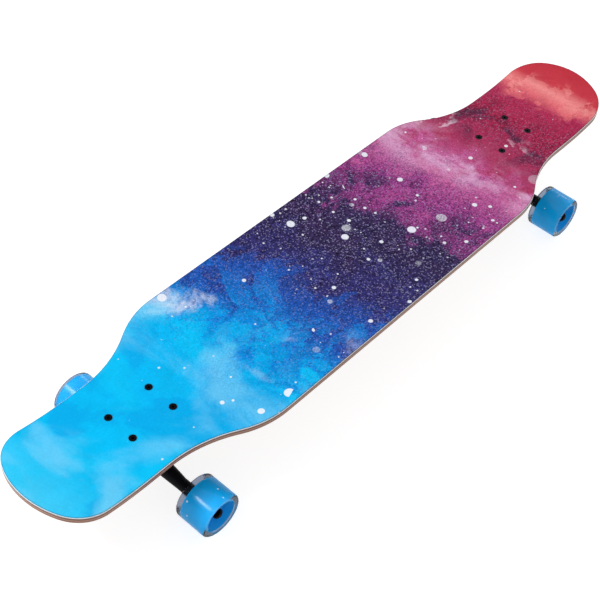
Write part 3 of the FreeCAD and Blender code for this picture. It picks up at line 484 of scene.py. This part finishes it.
# The plies' colours, each at a share of the thickness from the top; the two near-white top stops are a painted
# highlight where the top edge catches the light
PLY_AND_EDGE_HIGHLIGHT_SHARES = (
    (0.000, linear(255, 252, 250)),
    (0.120, linear(255, 250, 246)),
    (0.135, linear(92, 56, 50)),
    (0.160, linear(138, 90, 78)),
    (0.300, linear(134, 86, 74)),
    (0.320, linear(98, 60, 54)),
    (0.345, linear(190, 142, 122)),
    (0.440, linear(194, 146, 126)),
    (0.460, linear(114, 70, 62)),
    (0.485, linear(216, 172, 150)),
    (0.580, linear(212, 166, 144)),
    (0.600, linear(118, 74, 64)),
    (0.625, linear(172, 114, 98)),
    (0.725, linear(178, 120, 102)),
    (0.745, linear(112, 68, 60)),
    (0.770, linear(216, 182, 160)),
    (0.985, linear(220, 186, 164)),
)
# The wood's fine fibres and broad figure, both drawn out along the board, and the tone that they vary
FIBRE_STRETCH = (5.0, 260.0, 260.0)
FIBRE_NOISE = {"scale": 1.0, "detail": 6.0, "roughness": 0.6}
FIBRE_CONTRAST = 0.30
FIGURE_STRETCH = (3.0, 22.0, 22.0)
FIGURE_NOISE = {"scale": 1.0, "detail": 4.0, "roughness": 0.5, "distortion": 0.6}
FIGURE_CONTRAST = 0.24
DARKEST_TONE = 0.73


def maple_material():
    """Lacquered maple with its plies and a painted highlight along its top edge, from the depth below the curved
    top.
    """
    item, tree, shader = material("maple_plies_painted_highlight")
    where = place(tree)
    along, across, up = parts_of(tree, where)
    aside = calc(tree, "SUBTRACT", calc(tree, "ABSOLUTE", across), FLAT_HALF_WIDTH)
    beyond = calc(tree, "MAXIMUM", aside, 0.0)
    reach = calc(tree, "SUBTRACT", RAIL_RADIUS ** 2, calc(tree, "MULTIPLY", beyond, beyond))
    rail = calc(tree, "SUBTRACT", RAIL_RADIUS, calc(tree, "SQRT", reach))
    past = calc(tree, "MAXIMUM", calc(tree, "SUBTRACT", calc(tree, "ABSOLUTE", along), KICK_START), 0.0)
    below = calc(tree, "SUBTRACT", DECK_BOTTOM + DECK_THICKNESS + KICK_RADIUS, up)
    arm = calc(tree, "SQRT", calc(tree, "MULTIPLY_ADD", past, past, calc(tree, "MULTIPLY", below, below)))
    depth = calc(tree, "ADD", calc(tree, "SUBTRACT", arm, KICK_RADIUS), rail)
    plies_and_highlight = ramp(tree, calc(tree, "DIVIDE", depth, DECK_THICKNESS), PLY_AND_EDGE_HIGHLIGHT_SHARES)
    fibre = noise(tree, stretched(tree, where, FIBRE_STRETCH), **FIBRE_NOISE)
    figure = noise(tree, stretched(tree, where, FIGURE_STRETCH), **FIGURE_NOISE)
    tone = calc(tree, "MULTIPLY_ADD", figure, FIGURE_CONTRAST, DARKEST_TONE)
    tone = calc(tree, "MULTIPLY_ADD", fibre, FIBRE_CONTRAST, tone)
    feed(tree, shader.inputs["Base Color"], mix(tree, 1.0, plies_and_highlight, tone, "MULTIPLY"))
    feed(tree, shader.inputs["Normal"], bump(tree, fibre, strength=0.12, distance=0.0002))
    finish(shader, Roughness=0.42, Specular_IOR_Level=0.2, Coat_Weight=0.15, Coat_Roughness=0.2)
    return item


GRAIN_NOISE = {"detail": 4.0, "roughness": 0.6}
GRAIN_CONTRAST = 0.2


def rough_material(name, colour, roughness, specular, scale, strength, depth):
    """A plain finish with fine unevenness in tone and height."""
    item, tree, shader = material(name)
    grain = noise(tree, place(tree), scale, **GRAIN_NOISE)
    feed(tree, shader.inputs["Base Color"], toned(tree, colour, grain, GRAIN_CONTRAST))
    feed(tree, shader.inputs["Normal"], bump(tree, grain, strength, depth))
    finish(shader, Roughness=roughness, Specular_IOR_Level=specular)
    return item


TOOL_NOISE = {"scale": 1.0, "detail": 3.0, "roughness": 0.6}
TOOL_CONTRAST = 0.25
# The span of roughness from one tool mark to another
TOOL_ROUGHNESS = 0.18


def metal_material(name, colour, roughness, stretch):
    """Bare metal with fine tool marks."""
    item, tree, shader = material(name)
    marks = noise(tree, stretched(tree, place(tree), stretch), **TOOL_NOISE)
    uneven = calc(tree, "MULTIPLY_ADD", marks, TOOL_ROUGHNESS, roughness - TOOL_ROUGHNESS / 2)
    feed(tree, shader.inputs["Base Color"], toned(tree, colour, marks, TOOL_CONTRAST))
    feed(tree, shader.inputs["Roughness"], uneven)
    feed(tree, shader.inputs["Normal"], bump(tree, marks, strength=0.08, distance=0.0001))
    finish(shader, Metallic=1.0)
    return item


# The tyre's tint where light enters it, and where light leaves it a dark smoky tint that is painted shade for the
# dark look of its lips
CLEAR = (0.90, 0.97, 1.0, 1.0)
SMOKE_AND_LIP_SHADE = (0.075, 0.097, 0.160, 1.0)
URETHANE_IOR = 1.42
URETHANE_NOISE = {"scale": 120.0, "detail": 3.0, "roughness": 0.5}
# The least roughness of the tyre's surface, and the most that its flow marks add
URETHANE_ROUGHNESS = 0.16
FLOW_ROUGHNESS = 0.04
# How much of the tyre's surface is dulled and mirrors nothing
DULL_SHARE = 0.5


def tyre_material():
    """Clear cast urethane that tints what is seen right through it, darkened where light leaves it as painted
    shade of its lips, and lets lamps shine on the core.
    """
    item, tree, shader = material("clear_urethane_painted_lip_shade")
    path = add(tree, "ShaderNodeLightPath")
    seen = calc(tree, "SUBTRACT", 1.0, path.outputs["Is Diffuse Ray"])
    exit_shade_mask = calc(tree, "MULTIPLY", add(tree, "ShaderNodeNewGeometry").outputs["Backfacing"], seen)
    flow = noise(tree, place(tree), **URETHANE_NOISE)
    roughness = calc(tree, "MULTIPLY_ADD", flow, FLOW_ROUGHNESS, URETHANE_ROUGHNESS)
    # Painted shade: the dark tint on surfaces where light leaves the tyre darkens its lips
    feed(tree, shader.inputs["Base Color"], mix(tree, exit_shade_mask, CLEAR, SMOKE_AND_LIP_SHADE))
    feed(tree, shader.inputs["Roughness"], roughness)
    finish(shader, IOR=URETHANE_IOR, Transmission_Weight=1.0)
    # The main shader takes the root of its colour at each surface, so the dulled part is given the root
    bent = add(tree, "ShaderNodeBsdfRefraction")
    clear_root, smoke_and_shade_root = (tuple(math.sqrt(part) for part in colour) for colour in (CLEAR, SMOKE_AND_LIP_SHADE))
    feed(tree, bent.inputs["Color"], mix(tree, exit_shade_mask, clear_root, smoke_and_shade_root))
    feed(tree, bent.inputs["Roughness"], roughness)
    finish(bent, IOR=URETHANE_IOR)
    surface = joined(tree, DULL_SHARE, shader.outputs[0], bent.outputs[0])
    through = add(tree, "ShaderNodeBsdfTransparent")
    finish(through, Color=CLEAR)
    either = joined(tree, path.outputs["Is Shadow Ray"], surface, through.outputs[0])
    feed(tree, tree.nodes["Material Output"].inputs["Surface"], either)
    return item


DISH_BLUE = (0.0, 0.36, 1.0, 1.0)
SEAT_BLUE = (0.0, 0.41, 0.90, 1.0)
CORE_NOISE = {"scale": 160.0, "detail": 4.0, "roughness": 0.6}
CORE_CONTRAST = 0.14
BUBBLE_CELL = 0.011
# The radius of the largest bubble, as a share of a cell
BUBBLE_SHARE = 0.17


def core_material():
    """Glossy plastic, a little lighter blue under the tyre than in the dish, with a few bubbles on it."""
    item, tree, shader = material("blue_plastic")
    where = place(tree)
    flow = noise(tree, where, **CORE_NOISE)
    seat = step_up(tree, axle_distance(tree, where), CORE_MOUTH_RADIUS, MOUTH_RADIUS)
    blue = toned(tree, mix(tree, seat, DISH_BLUE, SEAT_BLUE), flow, CORE_CONTRAST)
    distance, chance = cells(tree, where, BUBBLE_CELL, "3D")
    bubble = calc(tree, "LESS_THAN", distance, calc(tree, "MULTIPLY", chance[0], BUBBLE_SHARE))
    feed(tree, shader.inputs["Base Color"], mix(tree, calc(tree, "MULTIPLY", bubble, seat), blue, PALE))
    feed(tree, shader.inputs["Normal"], bump(tree, flow, strength=0.03, distance=0.0002))
    finish(shader, Roughness=0.3, Specular_IOR_Level=0.1)
    return item


# Plain finishes: the name, colour, roughness and specular level of each, then the scale of its unevenness,
# and how strong and, in metres, how deep that is
PLAIN_FINISHES = {
    "truck": ("black_powder_coat", (0.004, 0.0045, 0.007, 1.0), 0.5, 0.07, 900.0, 0.25, 0.0002),
    "black_bolt": ("black_oxide", (0.003, 0.002, 0.004, 1.0), 0.5, 0.04, 1500.0, 0.15, 0.0001),
    "riser": ("riser_rubber", (0.012, 0.012, 0.013, 1.0), 0.7, 0.25, 700.0, 0.3, 0.0002),
    "bushing": ("bushing_urethane", (0.02, 0.12, 0.50, 1.0), 0.35, 0.4, 300.0, 0.1, 0.0002),
    "pivot_cup": ("cup_urethane", (0.70, 0.70, 0.66, 1.0), 0.4, 0.4, 300.0, 0.1, 0.0002),
    "shield": ("shield_rubber", (0.012, 0.012, 0.014, 1.0), 0.5, 0.3, 900.0, 0.15, 0.0001),
    "cage": ("cage_nylon", (0.62, 0.60, 0.54, 1.0), 0.5, 0.4, 500.0, 0.1, 0.0001),
}
# Bare metals: the name, colour and roughness of each, and the scale of its tool marks along each axis
METALS = {
    "steel": ("zinc_plate", (0.55, 0.55, 0.57, 1.0), 0.34, (400.0, 400.0, 400.0)),
    "bearing_steel": ("bearing_steel", (0.62, 0.62, 0.64, 1.0), 0.18, (900.0, 200.0, 900.0)),
}
MATERIALS = {
    "maple": maple_material(),
    "grip": grip_material(),
    "tyre": tyre_material(),
    "core": core_material(),
    **{slot: rough_material(*values) for slot, values in PLAIN_FINISHES.items()},
    **{slot: metal_material(*values) for slot, values in METALS.items()},
}
for part in frame["record"]["subparts"]:
    mesh = frame["nodes"][part["node"]].data
    mesh.materials.clear()
    mesh.materials.append(MATERIALS[part["material_slot"]])


# Turned pieces that stand for tyres and bushings

WHEELS = ("front_left", "front_right", "rear_left", "rear_right")
# Edges of the turned pieces that are sharper than this stay sharp
TYRE_SHARP = math.radians(40)
BUSHING_SHARP = math.radians(50)


def turned(name, profile, matrix):
    """A closed ring turned about its own Z from points of radius and height, put in place."""
    verts = []
    faces = []
    count = len(profile)
    for step in range(TURN_STEPS):
        angle = 2 * math.pi * step / TURN_STEPS
        for radius, height in profile:
            verts.append(matrix @ Vector((radius * math.cos(angle), radius * math.sin(angle), height)))
        for row in range(count):
            ahead = (step + 1) % TURN_STEPS
            after = (row + 1) % count
            near = step * count
            far = ahead * count
            faces.append((near + row, far + row, far + after, near + after))
    mesh = bpy.data.meshes.new(name)
    mesh.from_pydata(verts, [], faces)
    mesh.update()
    item = bpy.data.objects.new(name, mesh)
    bpy.context.scene.collection.objects.link(item)
    return item


def smooth(item, angle):
    """Shade a piece smooth, with edges sharper than an angle kept."""
    for polygon in item.data.polygons:
        polygon.use_smooth = True
    item.data.set_sharp_from_angle(angle=angle)


def arc(radius, height, size, start, end):
    """Points of a quarter round in a profile."""
    angles = [start + (end - start) * step / CORNER_STEPS for step in range(CORNER_STEPS + 1)]
    return [(radius + size * math.cos(angle), height + size * math.sin(angle)) for angle in angles]


def tyre_side(core_end):
    """Half of the tyre's section: a round lip, the side wall and the seat on one end of the core."""
    inside = core_end - TYRE_OVERLAP
    half = arc(WHEEL_RADIUS - LIP_RADIUS, WHEEL_HALF_WIDTH - LIP_RADIUS, LIP_RADIUS, 0, math.pi / 2)
    half += [(MOUTH_RADIUS, WHEEL_HALF_WIDTH), (CORE_MOUTH_RADIUS, core_end)]
    return half + [(CORE_MOUTH_RADIUS, inside), (CORE_RADIUS - TYRE_OVERLAP, inside)]


def tyre_profile():
    """The tyre's section, its outer side up."""
    return tyre_side(CORE_OUTER) + [(radius, -height) for radius, height in reversed(tyre_side(CORE_INNER))]


def make_tyres():
    """The four clear tyres."""
    for name in WHEELS:
        hub = Vector(joints[f"{name}_wheel_spin"]["pos_m"])
        outward = Matrix.Rotation(math.copysign(math.pi / 2, -hub.y), 4, "X")
        tyre = turned(f"{name}_tyre_clear", tyre_profile(), Matrix.Translation(hub) @ outward)
        smooth(tyre, TYRE_SHARP)
        tyre.data.materials.append(MATERIALS["tyre"])
        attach(tyre, f"{name}_wheel")
        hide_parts(f"{name}_tyre")


# The bushings' sections, each point a radius and a height from the middle of the hanger's ring
BOARDSIDE = (
    (BUSHING_BORE, RING_HALF_WEB),
    (BUSHING_END, RING_HALF_WEB),
    (BUSHING_BULGE, RING_HALF_WEB + BUSHING_BEVEL),
    (BUSHING_BULGE, RING_HALF_WEB + BOARDSIDE_HEIGHT / 2),
    (BUSHING_BULGE, RING_HALF_WEB + BOARDSIDE_HEIGHT - BUSHING_BEVEL),
    (BUSHING_END, RING_HALF_WEB + BOARDSIDE_HEIGHT),
    (BUSHING_BORE, RING_HALF_WEB + BOARDSIDE_HEIGHT),
)
ROADSIDE = (
    (BUSHING_BORE, -RING_HALF_WEB),
    (BUSHING_END, -RING_HALF_WEB),
    (BUSHING_END, -RING_HALF_WEB - SEAT_DEPTH),
    (BUSHING_CONE, -RING_HALF_WEB - ROADSIDE_HEIGHT),
    (BUSHING_BORE, -RING_HALF_WEB - ROADSIDE_HEIGHT),
)


def steering_place(joint):
    """The middle of a hanger's ring, with X along the steering axis and Z along the kingpin."""
    ahead = Vector(joint["axis"])
    across = Vector((0, 1, 0)) if ahead.x > 0 else Vector((0, -1, 0))
    turn = Matrix((ahead, across, ahead.cross(across))).transposed().to_4x4()
    return Matrix.Translation(joint["pos_m"]) @ turn


def make_bushings():
    """The bushings between the hangers and the board, turned and put in place."""
    for end in ("front", "rear"):
        steering = steering_place(joints[f"{end}_steer"])
        for name, profile in (("boardside", BOARDSIDE), ("roadside", ROADSIDE)):
            bushing = turned(f"{end}_{name}_bushing_soft", profile, steering)
            smooth(bushing, BUSHING_SHARP)
            bushing.data.materials.append(MATERIALS["bushing"])
            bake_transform(bushing)
            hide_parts(f"{end}_{name}_bushing")


make_tyres()
make_bushings()

# Floor, light and camera

WHITE = (1.0, 1.0, 1.0, 1.0)
FLOOR_SIZE = 60.0
# The floor's own grey, and how much it glows where it is seen
FLOOR_SHADE = 0.42
FLOOR_LIFT = 0.82
WORLD_STRENGTH = 0.58


def background_seen(tree):
    """One where a camera, a mirror or glass shows the background, and zero where it only lights."""
    rays = add(tree, "ShaderNodeLightPath").outputs
    seen = calc(tree, "MAXIMUM", rays["Is Camera Ray"], rays["Is Glossy Ray"])
    return calc(tree, "MAXIMUM", seen, rays["Is Transmission Ray"])


def make_floor():
    """A white floor that keeps a soft shadow."""
    bpy.ops.mesh.primitive_plane_add(size=FLOOR_SIZE)
    floor = bpy.context.object
    floor.name = "floor"
    item, tree, shader = material("studio_floor")
    grey = (FLOOR_SHADE, FLOOR_SHADE, FLOOR_SHADE, 1.0)
    finish(shader, Base_Color=grey, Roughness=1.0, Specular_IOR_Level=0.0, Emission_Color=WHITE)
    feed(tree, shader.inputs["Emission Strength"], calc(tree, "MULTIPLY", background_seen(tree), FLOOR_LIFT))
    floor.data.materials.append(item)


def make_world():
    """Even studio light from all round, white where it is seen."""
    world = bpy.data.worlds.new("studio")
    world.use_nodes = True
    tree = world.node_tree
    background = tree.nodes["Background"]
    strength = calc(tree, "MULTIPLY_ADD", background_seen(tree), 1.0 - WORLD_STRENGTH, WORLD_STRENGTH)
    finish(background, Color=WHITE)
    feed(tree, background.inputs["Strength"], strength)
    bpy.context.scene.world = world


# Softboxes: the name, place, width and height of each, and its power in watts
LAMPS = (
    ("key_softbox", (-1.30, 1.05, 1.90), 1.1, 0.36, 30.0),
    ("rim_softbox", (2.10, 1.10, 0.80), 1.4, 0.5, 10.0),
)


def make_lamps():
    """Softboxes that look at the middle of the board."""
    for name, spot, width, height, power in LAMPS:
        data = bpy.data.lights.new(name, "AREA")
        data.shape = "RECTANGLE"
        data.size = width
        data.size_y = height
        data.energy = power
        lamp = bpy.data.objects.new(name, data)
        lamp.location = spot
        lamp.rotation_euler = (-Vector(spot)).to_track_quat("-Z", "Y").to_euler()
        # A lamp already shines through the tyres as if they weren't there
        lamp.visible_transmission = False
        bpy.context.scene.collection.objects.link(lamp)


# The camera's place, the directions ahead and to the right of it, and its lens in millimetres
CAMERA_SPOT = (-0.95023, -0.69780, 1.30477)
CAMERA_AHEAD = (0.52743, 0.4234, -0.73658)
CAMERA_RIGHT = (0.6719, -0.73848, 0.05662)
CAMERA_LENS = 76.894


def make_camera():
    """The camera at the photograph's place and angle."""
    data = bpy.data.cameras.new("camera")
    data.lens = CAMERA_LENS
    data.sensor_width = 36.0
    data.sensor_fit = "HORIZONTAL"
    data.clip_end = 100.0
    ahead = Vector(CAMERA_AHEAD).normalized()
    right = Vector(CAMERA_RIGHT).normalized()
    over = right.cross(ahead)
    camera = bpy.data.objects.new("camera", data)
    turn = Matrix((right, over, -ahead)).transposed().to_4x4()
    camera.matrix_world = Matrix.Translation(CAMERA_SPOT) @ turn
    bpy.context.scene.collection.objects.link(camera)
    bpy.context.scene.camera = camera


make_floor()
make_world()
make_lamps()
make_camera()
bpy.context.scene.view_settings.view_transform = "Standard"
